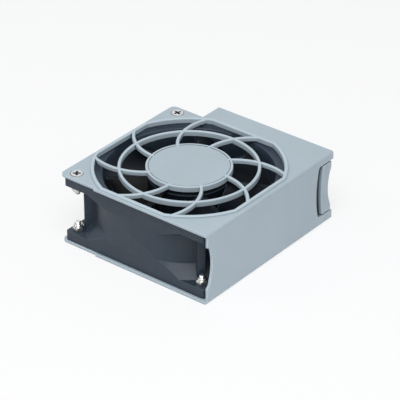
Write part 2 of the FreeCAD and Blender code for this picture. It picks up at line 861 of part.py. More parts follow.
def make_bearing(place, low):
    """A deep-groove ball bearing: two races with a groove in each, and a ring of balls."""
    inner, outer, wall = size("shaft_radius"), size("bearing_outer"), size("race_wall")
    pitch, middle = (inner + outer) / 2, low + size("bearing_width") / 2
    ball = size("ball_radius") + size("ball_clear")
    for name, near_side, far_side, lip in (
            ("outer", outer - wall, outer, outer - wall),
            ("inner", inner, inner + wall, inner + wall)):
        label = "%s_bearing_%s_race" % (place, name)
        race = make_ring(label, near_side, far_side, low, low + size("bearing_width"))
        track = Plan(race, label + "_track", "XZ_Plane")
        deepest = pitch + ball if name == "outer" else pitch - ball
        flank = (ball * ball - (lip - pitch) * (lip - pitch)).root()
        corners = [(lip, middle - flank), (deepest, middle), (lip, middle + flank)]
        track.outline(corners if name == "outer" else corners[::-1])
        spin("Groove", track, label + "_groove")
    balls = new_body(place + "_bearing_balls")
    first = primitive(balls, "AdditiveSphere", place + "_ball", pitch, 0, middle,
                      Radius=size("ball_radius"))
    turn_copies(balls, place + "_balls", [first], size("ball_count"))


def make_preload_spring():
    """A dished spring washer that presses the upper inner race away from the rotor's bush."""
    body = new_body("preload_spring")
    inner, outer = size("shaft_radius") + size("spring_clear"), size("spring_radius")
    thick = size("spring_thick")
    profile = Plan(body, "washer_profile", "XZ_Plane")
    profile.outline([
        (inner, spring_low), (outer, spring_high - thick), (outer, spring_high),
        (inner, spring_low + thick),
    ])
    spin("Revolution", profile, "washer")


# ---------------------------------------------------------------- stator

ring_edge = tube_radius + size("core_ring")
tip_edge = core_radius - size("pole_tip")


def add_star(body, name, low, height):
    """A ring on the bearing tube, with the stator's poles on it."""
    hub = Plan(body, name + "_ring_plan", lift=low)
    hub.circle(0, 0, ring_edge)
    hub.circle(0, 0, tube_radius)
    extrude("Pad", hub, name + "_ring", height)
    pole, width = Plan(body, name + "_pole_plan", lift=low), size("pole_width")
    pole.box(ring_edge - size("pole_sink"), -width / 2, tip_edge + size("pole_sink"), width / 2)
    first = extrude("Pad", pole, name + "_pole", height)
    turn_copies(body, name + "_poles", [first], size("pole_count"))


def add_pole_tips(body, low, height):
    """The poles' curved tips: a ring, cut through between the poles."""
    tips = Plan(body, "tip_plan", lift=low)
    tips.circle(0, 0, core_radius)
    tips.circle(0, 0, tip_edge)
    extrude("Pad", tips, "tips", height)
    slot, half = Plan(body, "slot_plan", lift=low, turn=180 / size("pole_count")), size("pole_slot") / 2
    slot.box(tip_edge - overcut, -half, core_radius + overcut, half)
    cut = extrude("Pocket", slot, "slot", height, back=True)
    turn_copies(body, "slots", [cut], size("pole_count"))


def make_stator():
    tube = make_ring("bearing_tube", size("bearing_outer"), tube_radius, strut_bottom,
                     spring_low + size("tube_over"))
    step = Plan(tube, "tube_step_profile", "XZ_Plane")
    step.box(size("bearing_outer") - size("race_wall"), lower_seat + size("bearing_width"),
             size("bearing_outer") + size("tube_wall") / 2, upper_seat)
    spin("Revolution", step, "tube_step")
    core = new_body("stator_core")
    add_star(core, "core", core_low, size("core_height"))
    add_pole_tips(core, core_low, size("core_height"))
    insulators = new_body("stator_insulators")
    add_star(insulators, "upper", core_high, size("insulator"))
    add_star(insulators, "lower", core_low - size("insulator"), size("insulator"))

    # each coil is a square-wound ring round its pole, clear of the hub and of the tips
    coils = new_body("stator_windings")
    build, half = size("coil_build"), size("pole_width") / 2
    low, high = core_low - size("insulator"), core_high + size("insulator")
    out, bottom, top = half + build, low - build, high + build
    start, reach = ring_edge + size("coil_clear"), tip_edge - size("coil_clear")
    length = (reach * reach - out * out).root() - start
    plan = Plan(coils, "coil_plan", "YZ_Plane", start)
    plan.box(-half, low, half, high)
    plan.outline([
        (out, bottom + build), (out, top - build, build, 1), (out - build, top),
        (-out + build, top, build, 1), (-out, top - build), (-out, bottom + build, build, 1),
        (-out + build, bottom), (out - build, bottom, build, 1),
    ])
    turn_copies(coils, "coils", [extrude("Pad", plan, "coil", length)], size("pole_count"))


def make_board():
    level = base_top + size("board_lift")
    board = new_body("motor_board")
    plan = Plan(board, "board_plan", lift=level)
    plan.circle(0, 0, board_radius)
    plan.circle(0, 0, tube_radius + size("base_rim") + size("board_hole_gap"))
    extrude("Pad", plan, "board_disc", size("board_thick"))
    parts = new_body("board_components")
    top = level + size("board_thick")
    ring = (board_radius + tube_radius + size("base_rim")) / 2
    for name, wide, deep, angle in CHIPS:
        chip = Plan(parts, name + "_plan", lift=top, turn=as_size(angle))
        chip.box(ring - deep / 2, as_size(-wide / 2), ring + deep / 2, as_size(wide / 2))
        extrude("Pad", chip, name, size("chip_height"))


# ---------------------------------------------------------------- screws and nuts

def make_fasteners():
    ear, nut = size("ear_thick"), size("nut_height")
    length = size("plate_thick") + ear + nut + size("screw_tip")
    radius, head, depth = size("screw_radius"), size("head_radius"), size("head_depth")
    spot = (-hole_offset, -hole_offset)
    slot_long, slot_wide, slot_deep = size("slot_long"), size("slot_wide"), size("slot_deep")
    corner = -hole_offset - slot_long / 2
    edge = -hole_offset - slot_wide / 2
    for side in ("bottom", "top"):
        upper = side == "top"
        screws = new_body(side + "_screws")
        if upper:
            cone = dict(Radius1=radius, Radius2=head, Height=depth)
            levels = (module_top - depth, module_top - length, module_top - slot_deep)
            nut_low, collar = fan_top - ear - nut, fan_top - ear - nut
            hex_low = nut_low + size("nut_collar")
        else:
            cone = dict(Radius1=head, Radius2=radius, Height=depth)
            levels = (as_size(0), depth, as_size(0))
            nut_low = fan_bottom + ear
            hex_low, collar = nut_low, nut_low + nut - size("nut_collar")
        features = [
            primitive(screws, "AdditiveCone", side + "_head", *spot, levels[0], **cone),
            primitive(screws, "AdditiveCylinder", side + "_shank", *spot, levels[1],
                      Radius=radius, Height=length - depth),
            primitive(screws, "SubtractiveBox", side + "_slot_a", corner, edge, levels[2],
                      Length=slot_long, Width=slot_wide, Height=slot_deep),
            primitive(screws, "SubtractiveBox", side + "_slot_b", edge, corner, levels[2],
                      Length=slot_wide, Width=slot_long, Height=slot_deep),
        ]
        nuts = new_body(side + "_nuts")
        across = size("nut_width") / (3 ** 0.5)
        nut_features = [
            primitive(nuts, "AdditivePrism", side + "_hexagon", *spot, hex_low,
                      Circumradius=across, Height=nut - size("nut_collar")),
            primitive(nuts, "AdditiveCylinder", side + "_collar", *spot, collar,
                      Radius=size("collar_radius"), Height=size("nut_collar")),
            primitive(nuts, "SubtractiveCylinder", side + "_thread", *spot, nut_low,
                      Radius=radius, Height=nut),
        ]
        if upper:
            mirror_copy(screws, side + "_screw_set", features, "XZ_Plane")
            mirror_copy(nuts, side + "_nut_set", nut_features, "XZ_Plane")
        else:
            turn_copies(screws, side + "_screw_set", features, 4)
            turn_copies(nuts, side + "_nut_set", nut_features, 4)


# ---------------------------------------------------------------- latch

pad_low = module_top - size("window_bottom") + size("latch_clear")
pad_high = module_top - size("window_top") - size("latch_clear")
latch_middle = (pad_low + pad_high) / 2


def make_latch():
    body = new_body("latch_lever")
    front, back = pad_front, pad_back
    low, high, ear = pad_low, pad_high, size("pad_ear")
    chord, sag = high - low - ear * 2, back - pad_scoop
    scoop = (chord * chord / 4 + sag * sag) / (sag * 2)
    pad = Plan(body, "pad_plan", "YZ_Plane", wall_outer)
    pad.outline([
        (front, low, size("pad_bend"), -1), (front, high), (back, high),
        (back, high - ear, scoop, 1), (back, low + ear), (back, low),
    ])
    extrude("Pad", pad, "finger_pad", size("pad_thick"), back=True)
    x, y, half = size("pivot_x"), pivot_y, size("arm_thick") / 2
    height = size("arm_height")
    arm = Plan(body, "arm_plan", lift=latch_middle - height / 2)
    arm.box(x, y - half, wall_outer - size("pad_thick") / 2, y + half)
    extrude("Pad", arm, "arm", height)
    start, reach, tip = size("tooth_start"), tooth_reach, size("tooth_tip")
    end = start + size("tooth_length")
    tooth = Plan(body, "tooth_plan", lift=latch_middle - size("tooth_height") / 2)
    tooth.outline([(start, y), (end + tip, y), (end + tip, reach), (end, reach)])
    extrude("Pad", tooth, "tooth", size("tooth_height"))
    gap = size("boss_height") + size("pivot_play")
    primitive(body, "AdditiveCylinder", "barrel", x, y, fan_bottom + gap,
              Radius=size("barrel_radius"), Height=size("fan_depth") - gap * 2)
    primitive(body, "AdditiveCylinder", "trunnions", x, y, fan_bottom + gap - size("pivot_length"),
              Radius=size("pivot_radius"),
              Height=size("fan_depth") - gap * 2 + size("pivot_length") * 2)

    leaf = new_body("latch_spring")
    strip = Plan(leaf, "leaf_plan", lift=latch_middle - size("leaf_height") / 2)
    thick, seat = size("leaf_thick"), y - half
    rest = size("fan_width") / 2 + size("leaf_clear")
    x0 = x + size("leaf_start")
    x1, x2 = x0 + size("leaf_seat"), x0 + size("leaf_seat") + size("leaf_run")
    foot, mitre = x2 + size("leaf_foot"), thick / 2
    strip.outline([
        (x0, seat), (x0, seat - thick), (x1 - mitre, seat - thick), (x2 - mitre, rest),
        (foot, rest), (foot, rest + thick), (x2, rest + thick), (x1, seat),
    ])
    extrude("Pad", strip, "leaf", size("leaf_height"))


# ---------------------------------------------------------------- connector

def make_connector():
    clear = size("connector_clear")
    side, low = connector_side(), size("connector_low")
    wide, tall = size("connector_width"), size("connector_height")
    web = -size("back_step")
    front = web - size("connector_reach")
    body = new_body("connector_housing")
    block = Plan(body, "block_plan", "YZ_Plane", front)
    block.box(side + clear, low + clear, side + wide - clear, low + tall - clear)
    extrude("Pad", block, "block", size("connector_length"))
    flange = Plan(body, "flange_plan", "YZ_Plane", web + size("web_plate"))
    over = size("flange_over")
    flange.box(side - over, low - over, side + wide + over, low + tall + over)
    extrude("Pad", flange, "flange", size("flange_thick"))
    contacts = new_body("connector_contacts")
    sockets = Plan(body, "socket_plan", "YZ_Plane", front)
    pins = Plan(contacts, "pin_plan", "YZ_Plane", front + overcut)
    rows = int(size("contact_count").value)
    middle_y, middle_z = side + wide / 2, low + tall / 2
    for row in range(rows):
        level = middle_z + size("contact_pitch") * (row - (rows - 1) / 2)
        for plan, across in ((sockets, size("socket_width")), (pins, size("contact_width"))):
            plan.box(middle_y - across / 2, level - across / 2, middle_y + across / 2,
                     level + across / 2)
    extrude("Pocket", sockets, "sockets", size("socket_depth"), back=True)
    extrude("Pad", pins, "pins", size("connector_length") + overcut)
    doc.recompute()
    bores = Plan(body, "pin_hole_plan", "YZ_Plane", front)
    for row in range(rows):
        level = middle_z + size("contact_pitch") * (row - (rows - 1) / 2)
        across = size("contact_width")
        bores.box(middle_y - across / 2, level - across / 2, middle_y + across / 2,
                  level + across / 2)
    extrude("Pocket", bores, "pin_holes", size("connector_length"), back=True)


# ---------------------------------------------------------------- build, check and write

make_carrier()
make_fan_frame()
make_impeller()
make_rotor_parts()
make_bearing("lower", lower_seat)
make_bearing("upper", upper_seat)
make_preload_spring()
make_stator()
make_board()
make_fasteners()
make_latch()
make_connector()
doc.recompute()

for item in doc.Objects:
    if "Invalid" in item.State or "Error" in item.State:
        raise RuntimeError("%s did not build: %s" % (item.Name, item.State))

nodes = [item for item in doc.Objects if item.TypeId == "PartDesign::Body"]
for node in nodes:
    if node.Shape.isNull() or not node.Shape.isValid() or not node.Shape.Solids:
        raise RuntimeError("%s has no valid shape" % node.Label)

os.makedirs("parts", exist_ok=True)
for node in nodes:
    node.Shape.exportStep("parts/%s.step" % node.Label)
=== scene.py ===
import json
import math

import bmesh
import bpy
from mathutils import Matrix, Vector


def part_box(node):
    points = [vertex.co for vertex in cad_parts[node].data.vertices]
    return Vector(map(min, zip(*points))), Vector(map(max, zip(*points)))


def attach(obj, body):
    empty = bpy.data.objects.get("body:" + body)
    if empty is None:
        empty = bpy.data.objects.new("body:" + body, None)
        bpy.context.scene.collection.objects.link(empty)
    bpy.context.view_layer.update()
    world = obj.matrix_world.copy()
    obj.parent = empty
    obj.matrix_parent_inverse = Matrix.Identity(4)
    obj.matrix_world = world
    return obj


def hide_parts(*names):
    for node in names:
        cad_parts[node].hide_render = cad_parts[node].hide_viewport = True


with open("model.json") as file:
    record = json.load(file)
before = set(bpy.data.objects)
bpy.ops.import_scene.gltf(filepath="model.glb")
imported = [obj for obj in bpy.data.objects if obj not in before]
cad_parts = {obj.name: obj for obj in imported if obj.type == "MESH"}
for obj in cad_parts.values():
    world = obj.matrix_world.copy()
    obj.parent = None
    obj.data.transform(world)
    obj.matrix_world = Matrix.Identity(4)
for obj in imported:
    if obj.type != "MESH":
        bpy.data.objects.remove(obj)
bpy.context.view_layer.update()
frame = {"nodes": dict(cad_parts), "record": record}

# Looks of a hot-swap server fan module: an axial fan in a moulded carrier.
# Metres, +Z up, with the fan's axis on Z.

nodes = frame["nodes"]
record = frame["record"]
mm = 0.001
bodyOf = {node: body for body, members in record["behaviour"]["bodies"].items() for node in members}
slotOf = {part["node"]: part["material_slot"] for part in record["subparts"]}
print("stage: frame loaded,", len(nodes), "nodes")


class Wire:
    # an output socket: arithmetic on it adds Math nodes to its material
    def __init__(self, finish, socket):
        self.finish = finish
        self.socket = socket

    def math(self, operation, *others):
        return self.finish.node("ShaderNodeMath", {"operation": operation}, [self, *others])

    def after(self, operation, first):
        return self.finish.node("ShaderNodeMath", {"operation": operation}, [first, self])

    def __add__(self, other):
        return self.math("ADD", other)

    def __radd__(self, other):
        return self.math("ADD", other)

    def __sub__(self, other):
        return self.math("SUBTRACT", other)

    def __rsub__(self, other):
        return self.after("SUBTRACT", other)

    def __mul__(self, other):
        return self.math("MULTIPLY", other)

    def __rmul__(self, other):
        return self.math("MULTIPLY", other)

    def __pow__(self, other):
        return self.math("POWER", other)

    def __gt__(self, other):
        return self.math("GREATER_THAN", other)

    def sine(self, pitch):
        # a wave with one period in each pitch
        return (self * (math.tau / pitch)).math("SINE")

    def spread(self, low, high, to=(0.0, 1.0)):
        # low..high becomes to[0]..to[1], held at both ends
        return self.finish.node("ShaderNodeMapRange", {"clamp": True}, [self, low, high, *to])


class Finish:
    # a material and the nodes that make it
    def __init__(self, name, shader=None):
        self.material = bpy.data.materials.new(name)
        self.material.use_nodes = True
        self.tree = self.material.node_tree
        self.shader = self.tree.nodes["Principled BSDF"]
        self.set(shader or {})
        place = self.tree.nodes.new("ShaderNodeTexCoord")
        self.place = Wire(self, place.outputs["Object"])

    def node(self, kind, settings, values, output=0):
        # any node: its settings first, then values or links of its sockets by place or name
        made = self.tree.nodes.new(kind)
        for key, value in settings.items():
            setattr(made, key, value)
        pairs = values.items() if isinstance(values, dict) else enumerate(values)
        for key, value in pairs:
            self.feed(made.inputs[key], value)
        return Wire(self, made.outputs[output])

    def feed(self, socket, value):
        if isinstance(value, Wire):
            self.tree.links.new(value.socket, socket)
        elif socket.type == "RGBA":
            socket.default_value = (*value, 1.0)
        else:
            socket.default_value = value

    def set(self, values):
        for key, value in values.items():
            self.feed(self.shader.inputs[key], value)

    def noise(self, size, detail=2.0, roughness=0.5):
        return self.node("ShaderNodeTexNoise", {}, {
            "Vector": self.place, "Scale": 1 / size, "Detail": detail, "Roughness": roughness})

    def streaks(self, x, y, z, detail=2.0):
        # noise with a size of its own along each axis
        drawn = self.node("ShaderNodeVectorMath", {"operation": "MULTIPLY"},
                          [self.place, (1 / x, 1 / y, 1 / z)])
        return self.node("ShaderNodeTexNoise", {}, {"Vector": drawn, "Scale": 1.0, "Detail": detail})

    def dots(self, pitch, width):
        # round specks, one in each cell of the pitch
        cell = self.node("ShaderNodeTexVoronoi", {}, {"Vector": self.place, "Scale": 1 / pitch})
        return cell.spread(0.0, width / pitch, (1.0, 0.0))

    def openness(self, reach):
        # 1 on an open face, down to 0 deep in a narrow seam or inner corner: the mask of the painted shade
        # there
        near = self.node("ShaderNodeAmbientOcclusion", {"samples": 6}, {"Distance": reach}, 1)
        return near.spread(0.25, 0.72)

    def axes(self):
        # x, y, z and the distance from the fan's axis
        made = self.tree.nodes.new("ShaderNodeSeparateXYZ")
        self.feed(made.inputs[0], self.place)
        x, y, z = [Wire(self, socket) for socket in made.outputs]
        return x, y, z, (x * x + y * y) ** 0.5

    def blend(self, factor, first, second):
        # colours are mixed by a Mix node
        made = self.tree.nodes.new("ShaderNodeMix")
        made.data_type = "RGBA"
        for socket, value in ((0, factor), (6, first), (7, second)):
            self.feed(made.inputs[socket], value)
        return Wire(self, made.outputs[2])

    def relief(self, height, distance, under=None):
        # a Bump node, on top of another where one is given
        values = {"Height": height, "Distance": distance}
        if under is not None:
            values["Normal"] = under
        return self.node("ShaderNodeBump", {}, values)


def shade(colour, share):
    # a colour made lighter (share over 1) or darker
    return tuple(min(part * share, 1.0) for part in colour)


greyPlastic = {
    "colour": (0.408, 0.487, 0.540),
    "edgeHighlightShare": 1.16,         # how much paler the rounded edges are painted, a painted highlight
    # the two seam keys set painted shade: the colour darkens where another face is near
    "seamShadeReach": 1.3 * mm,     # how near another face has to be to make a seam
    "seamShadeShare": 0.10,         # what is left of the colour deep in a seam
    "roughness": 0.44,
    "coat": 0.04,
    "grain": 0.7 * mm,         # spark-eroded grain
    "grainDepth": 0.010 * mm,
    "mottle": 0.035,           # how much the tone drifts, and over what sizes
    "mottleSize": 30 * mm,
    "cloudSize": 3.5 * mm,
    "speckPitch": 4.5 * mm,
    "speckWidth": 0.12 * mm,
    "rubSize": 12 * mm,
    "wave": 18 * mm,           # slow waviness of a thin wall
    "waveDepth": 0.03 * mm,
}


def makeGreyPlastic(name, size, lightness=1.0):
    colour = shade(size["colour"], lightness)
    finish = Finish(name, {"Specular IOR Level": 0.4, "Coat Weight": size["coat"], "Coat Roughness": 0.35})
    slow = finish.noise(size["mottleSize"], 3.0).spread(0.3, 0.7)
    fine = finish.noise(size["cloudSize"], 4.0).spread(0.35, 0.65)
    toned = finish.blend(slow, shade(colour, 1 - size["mottle"]), shade(colour, 1 + size["mottle"]))
    toned = finish.blend(fine * 0.25, toned, shade(colour, 1.05))
    specks = finish.dots(size["speckPitch"], size["speckWidth"])
    toned = finish.blend(specks * 0.25, toned, shade(colour, 0.6))
    # painted shade: the colour darkens in narrow seams and inner corners, where shade falls
    toned = finish.blend(finish.openness(size["seamShadeReach"]), shade(colour, size["seamShadeShare"]), toned)
    grain = finish.noise(size["grain"], 3.0, 0.65)
    rubbed = finish.noise(size["rubSize"], 5.0, 0.7).spread(0.55, 0.75)
    waves = finish.relief(finish.noise(size["wave"], 1.0), size["waveDepth"])
    finish.set({
        "Base Color": toned,
        "Roughness": size["roughness"] + grain * 0.06 - rubbed * 0.07,
        "Normal": finish.relief(grain, size["grainDepth"], waves),
    })
    return finish.material


blackPlastic = {
    "colour": (0.0190, 0.0310, 0.0480),
    "fibre": (0.041, 0.060, 0.084),
    "roughness": 0.40,
    "specular": 0.40,
    "grain": 0.6 * mm,
    "grainDepth": 0.028 * mm,
    "flow": (2.5 * mm, 2.5 * mm, 22 * mm),
    "cloudSize": 22 * mm,
    "speckPitch": 0.6 * mm,
    "speckWidth": 0.1 * mm,
}


def makeBlackPlastic(name, size, lightness=1.0, shine=1.0):
    dark, light = shade(size["colour"], lightness), shade(size["fibre"], lightness)
    finish = Finish(name, {"Specular IOR Level": size["specular"] * shine})
    flow = finish.streaks(*size["flow"], 3.0).spread(0.35, 0.75)
    cloud = finish.noise(size["cloudSize"], 3.0).spread(0.3, 0.8)
    toned = finish.blend(flow * 0.18 + cloud * 0.22, dark, light)
    specks = finish.dots(size["speckPitch"], size["speckWidth"])
    toned = finish.blend(specks * 0.2, toned, shade(light, 1.8))
    grain = finish.noise(size["grain"], 4.0, 0.7)
    finish.set({
        "Base Color": toned,
        "Roughness": size["roughness"] + grain * 0.1 + cloud * 0.06,
        "Normal": finish.relief(grain, size["grainDepth"]),
    })
    return finish.material


metals = {
    "screw": {"colour": (0.74, 0.74, 0.74), "stain": (0.32, 0.32, 0.32), "roughness": 0.24,
              "brushed": 0.0, "turned": 0.0},
    "nut": {"colour": (0.66, 0.66, 0.64), "stain": (0.06, 0.06, 0.06), "roughness": 0.18,
            "brushed": 0.0, "turned": 0.0},
    "bearing": {"colour": (0.74, 0.74, 0.75), "stain": (0.52, 0.52, 0.53), "roughness": 0.14,
                "brushed": 0.0, "turned": 1.0},
    "shaft": {"colour": (0.70, 0.70, 0.71), "stain": (0.48, 0.48, 0.48), "roughness": 0.16,
              "brushed": 0.0, "turned": 1.0},
    "yoke": {"colour": (0.52, 0.52, 0.50), "stain": (0.34, 0.33, 0.31), "roughness": 0.34,
             "brushed": 0.6, "turned": 0.4},
    "spring": {"colour": (0.62, 0.60, 0.56), "stain": (0.40, 0.36, 0.30), "roughness": 0.24,
               "brushed": 1.0, "turned": 0.0},
    "brass": {"colour": (0.74, 0.55, 0.24), "stain": (0.46, 0.31, 0.12), "roughness": 0.26,
              "brushed": 0.0, "turned": 1.0},
    "contact": {"colour": (0.93, 0.72, 0.34), "stain": (0.74, 0.52, 0.22), "roughness": 0.18,
                "brushed": 0.5, "turned": 0.0},
}


metalMarks = {
    "lathePitch": 0.25 * mm,
    "brush": (2.5 * mm, 2.5 * mm, 0.1 * mm),
    "stainSize": 1.6 * mm,
    "tarnishSize": 6 * mm,
    "depth": 0.004 * mm,
}


def makeMetal(name, size):
    finish = Finish(name, {"Metallic": 1.0})
    turning = finish.axes()[3].sine(metalMarks["lathePitch"])
    brush = finish.streaks(*metalMarks["brush"])
    stain = finish.noise(metalMarks["stainSize"], 4.0, 0.65).spread(0.45, 0.75)
    tarnish = finish.noise(metalMarks["tarnishSize"], 3.0, 0.6).spread(0.5, 0.8)
    scratches = brush * (0.3 + size["brushed"]) + turning * (0.25 * size["turned"])
    finish.set({
        "Base Color": finish.blend(stain * 0.4 + tarnish * 0.3, size["colour"], size["stain"]),
        "Roughness": size["roughness"] + stain * 0.14 + tarnish * 0.08,
        "Normal": finish.relief(scratches, metalMarks["depth"]),
    })
    return finish.material


motorLooks = {
    "copper": (0.80, 0.36, 0.16),
    "enamel": (0.50, 0.16, 0.05),
    "wire": 0.3 * mm,
    "lamination": 0.5 * mm,
    "core": (0.33, 0.33, 0.34),
    "coreEdge": (0.12, 0.11, 0.11),
    "nylon": (0.72, 0.69, 0.60),
    "ferrite": (0.055, 0.052, 0.050),
    "mask": (0.012, 0.105, 0.040),
    "track": (0.022, 0.165, 0.062),
    "trackPitch": 1.6 * mm,
    "chip": (0.022, 0.022, 0.024),
    "housing": (0.030, 0.031, 0.035),
}


def makeCopper(name, size):
    finish = Finish(name, {"Metallic": 0.9, "Coat Weight": 0.35, "Coat Roughness": 0.15})
    wires = finish.axes()[3].sine(size["wire"])
    patch = finish.noise(2 * mm, 3.0).spread(0.3, 0.7)
    finish.set({
        "Base Color": finish.blend(wires.spread(-1.0, 0.2, (1.0, 0.0)) * 0.7 + patch * 0.2,
                                   size["copper"], size["enamel"]),
        "Roughness": 0.3 + patch * 0.12,
        "Normal": finish.relief(wires, 0.06 * mm),
    })
    return finish.material


def makeCore(name, size):
    finish = Finish(name, {"Metallic": 0.75})
    sheets = finish.axes()[2].sine(size["lamination"])
    rust = finish.noise(1.2 * mm, 4.0, 0.7).spread(0.5, 0.8)
    finish.set({
        "Base Color": finish.blend(sheets.spread(-1.0, -0.4, (1.0, 0.0)) * 0.8 + rust * 0.2,
                                   size["core"], size["coreEdge"]),
        "Roughness": 0.4 + rust * 0.2,
        "Normal": finish.relief(sheets, 0.04 * mm),
    })
    return finish.material


def makeDull(name, colour, roughness, grain, speck=0.0):
    # sintered, moulded or potted stuff: a cloudy tone, a grain and pale specks
    finish = Finish(name)
    cloud = finish.noise(4 * mm, 4.0, 0.6).spread(0.3, 0.7)
    grains = finish.noise(grain, 4.0, 0.7)
    toned = finish.blend(cloud, shade(colour, 0.88), shade(colour, 1.1))
    finish.set({
        "Base Color": finish.blend(finish.dots(grain * 1.5, grain * 0.3) * speck, toned, shade(colour, 2.2)),
        "Roughness": roughness + grains * 0.15,
        "Normal": finish.relief(grains, grain * 0.03),
    })
    return finish.material


def makeBoard(name, size):
    finish = Finish(name, {"Coat Weight": 0.4, "Coat Roughness": 0.2})
    x, y, z, radius = finish.axes()
    rings = radius.sine(size["trackPitch"]) > 0.55
    spokes = (y.math("ARCTAN2", x) * 9.0).math("SINE") > -0.35
    finish.set({
        "Base Color": finish.blend(rings * spokes, size["mask"], size["track"]),
        "Roughness": 0.32 + finish.noise(0.9 * mm, 3.0) * 0.12,
        "Normal": finish.relief(rings * spokes, 0.04 * mm),
    })
    return finish.material


materials = {
    "carrier_plastic": makeGreyPlastic("carrierPlastic", greyPlastic),
    "latch_plastic": makeGreyPlastic("latchPlastic", greyPlastic, 0.96),
    "frame_plastic": makeBlackPlastic("framePlastic", blackPlastic),
    # painted shade: the impeller's black plastic is made far darker than the frame's, for the shade inside
    # the duct
    "impeller_plastic": makeBlackPlastic("impellerPlasticShaded", blackPlastic, 0.22, 0.18),
    "yoke_steel": makeMetal("yokeSteel", metals["yoke"]),
    "magnet": makeDull("ferriteMagnet", motorLooks["ferrite"], 0.55, 0.4 * mm, 0.2),
    "bush_brass": makeMetal("bushBrass", metals["brass"]),
    "shaft_steel": makeMetal("shaftSteel", metals["shaft"]),
    "bearing_steel": makeMetal("bearingSteel", metals["bearing"]),
    "spring_steel": makeMetal("springSteel", metals["spring"]),
    "tube_brass": makeMetal("tubeBrass", metals["brass"]),
    "core_steel": makeCore("coreSteel", motorLooks),
    "insulator_plastic": makeDull("insulatorNylon", motorLooks["nylon"], 0.42, 0.5 * mm),
    "copper": makeCopper("enamelledCopper", motorLooks),
    "board": makeBoard("boardMask", motorLooks),
    "chips": makeDull("chipEpoxy", motorLooks["chip"], 0.5, 0.3 * mm, 0.1),
    "screw_steel": makeMetal("screwSteel", metals["screw"]),
    "nut_steel": makeMetal("nutSteel", metals["nut"]),
    "connector_plastic": makeDull("connectorNylon", motorLooks["housing"], 0.4, 0.6 * mm),
    "contact_metal": makeMetal("contactMetal", metals["contact"]),
}
# painted highlight: paler copies of the plastics for rounded edges and rib tops, standing in for the light
# those edges catch
carrierEdgeHighlight = makeGreyPlastic("carrierEdgeHighlight", greyPlastic, greyPlastic["edgeHighlightShare"])
# painted highlight: the black plastic made paler for the bevelled edges of the black pieces
frameEdgeHighlight = makeBlackPlastic("frameEdgeHighlight", blackPlastic, 1.6)
# painted shade: a near-black finish for the screws' cross recesses, in place of the shade inside them
recessShade = makeDull("recessShade", (0.022, 0.022, 0.024), 0.6, 0.2 * mm)
for node, piece in nodes.items():
    piece.data.materials.clear()
    piece.data.materials.append(materials[slotOf[node]])
print("stage: finishes made,", len(materials))


def addPiece(name, mesh, node):
    # a new piece that stands for a CAD node, on its body and in its finish
    piece = bpy.data.objects.new(name, mesh)
    bpy.context.scene.collection.objects.link(piece)
    mesh.materials.append(materials[slotOf[node]])
    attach(piece, bodyOf[node])
    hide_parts(node)
    return piece


def meshOf(name, grid, sharp=28):
    bmesh.ops.recalc_face_normals(grid, faces=grid.faces)
    mesh = bpy.data.meshes.new(name)
    grid.to_mesh(mesh)
    grid.free()
    mesh.shade_smooth()
    mesh.set_sharp_from_angle(angle=math.radians(sharp))
    return mesh


def bridge(grid, low, high, slot=0):
    # a strip of faces between two rings of corners
    for index in range(len(low)):
        after = (index + 1) % len(low)
        face = grid.faces.new((low[index], low[after], high[after], high[index]))
        face.material_index = slot


def stack(grid, loops, pale=(), closed=False):
    # rings of points joined in turn: the strips numbered in pale take slot 1, the paler edge material, a
    # painted highlight
    rings = [[grid.verts.new(point) for point in loop] for loop in loops]
    pairs = list(zip(rings, rings[1:] + rings[:1]))
    for number, (low, high) in enumerate(pairs if closed else pairs[:-1]):
        bridge(grid, low, high, 1 if number in pale else 0)
    return rings


guard = {
    "coverRadius": 22.8 * mm,
    "coverRim": 1.15 * mm,
    "coverRound": 0.4 * mm,
    "coverSink": 0.12 * mm,      # how far the cover's face lies under its rim
    "grooveWidth": 0.55 * mm,    # the groove between the rim and the face
    "grooveDepth": 0.45 * mm,
    "coverThick": 1.6 * mm,
    "skirtThick": 1.6 * mm,
    "ringRadius": 37.3 * mm,
    "ringWidth": 1.7 * mm,
    "depth": 3.0 * mm,
    "sill": 0.15 * mm,           # bevel along the guard's lower edges
    "pole": 0.2 * mm,            # radius of the middle face of the cover
    "spokeCount": 8,
    "spokeWidth": 1.8 * mm,
    "spokeDepth": 2.4 * mm,
    "spokeBend": 29.5 * mm,      # radius of a spoke's curve, and its centre
    "spokeCentre": (20.7 * mm, -25.7 * mm),
    "spokeStart": 90.5,
    "spokeSink": 0.7 * mm,       # how far a spoke runs into the lip
    "mouthFlat": 45.0 * mm,
    "mouthRound": 49.3 * mm,
    "lipWidth": 1.9 * mm,
    "lipRaise": 1.1 * mm,
    "plate": 1.55 * mm,
    "foot": 0.25 * mm,           # fillet between the lip and the plate
    "round": 0.6 * mm,
    "lipRound": 0.5 * mm,
    "roundSteps": 5,
    "ringStep": 0.03 * mm,       # the ring and the spokes lie just under the lip's top
    "spokeStep": 0.06 * mm,
    "cutGap": 0.05 * mm,         # room between the guard and the plates cut for it
}


def mouthLoop(offset, z, size):
    # the mouth's outline, moved outwards: four straight runs joined by arcs round the axis
    flat, reach = size["mouthFlat"] + offset, size["mouthRound"] + offset
    corner = math.acos(flat / reach)
    points = []
    for side in range(4):
        middle = side * math.pi / 2
        for step in range(-3, 3):
            along = step / 3 * reach * math.sin(corner)
            points.append((flat * math.cos(middle) - along * math.sin(middle),
                           flat * math.sin(middle) + along * math.cos(middle), z))
        for step in range(30):
            turn = middle + corner + (math.pi / 2 - 2 * corner) * step / 30
            points.append((reach * math.cos(turn), reach * math.sin(turn), z))
    return points


def circleLoop(radius, z, count=160):
    turns = [math.tau * step / count for step in range(count)]
    return [(radius * math.cos(turn), radius * math.sin(turn), z) for turn in turns]


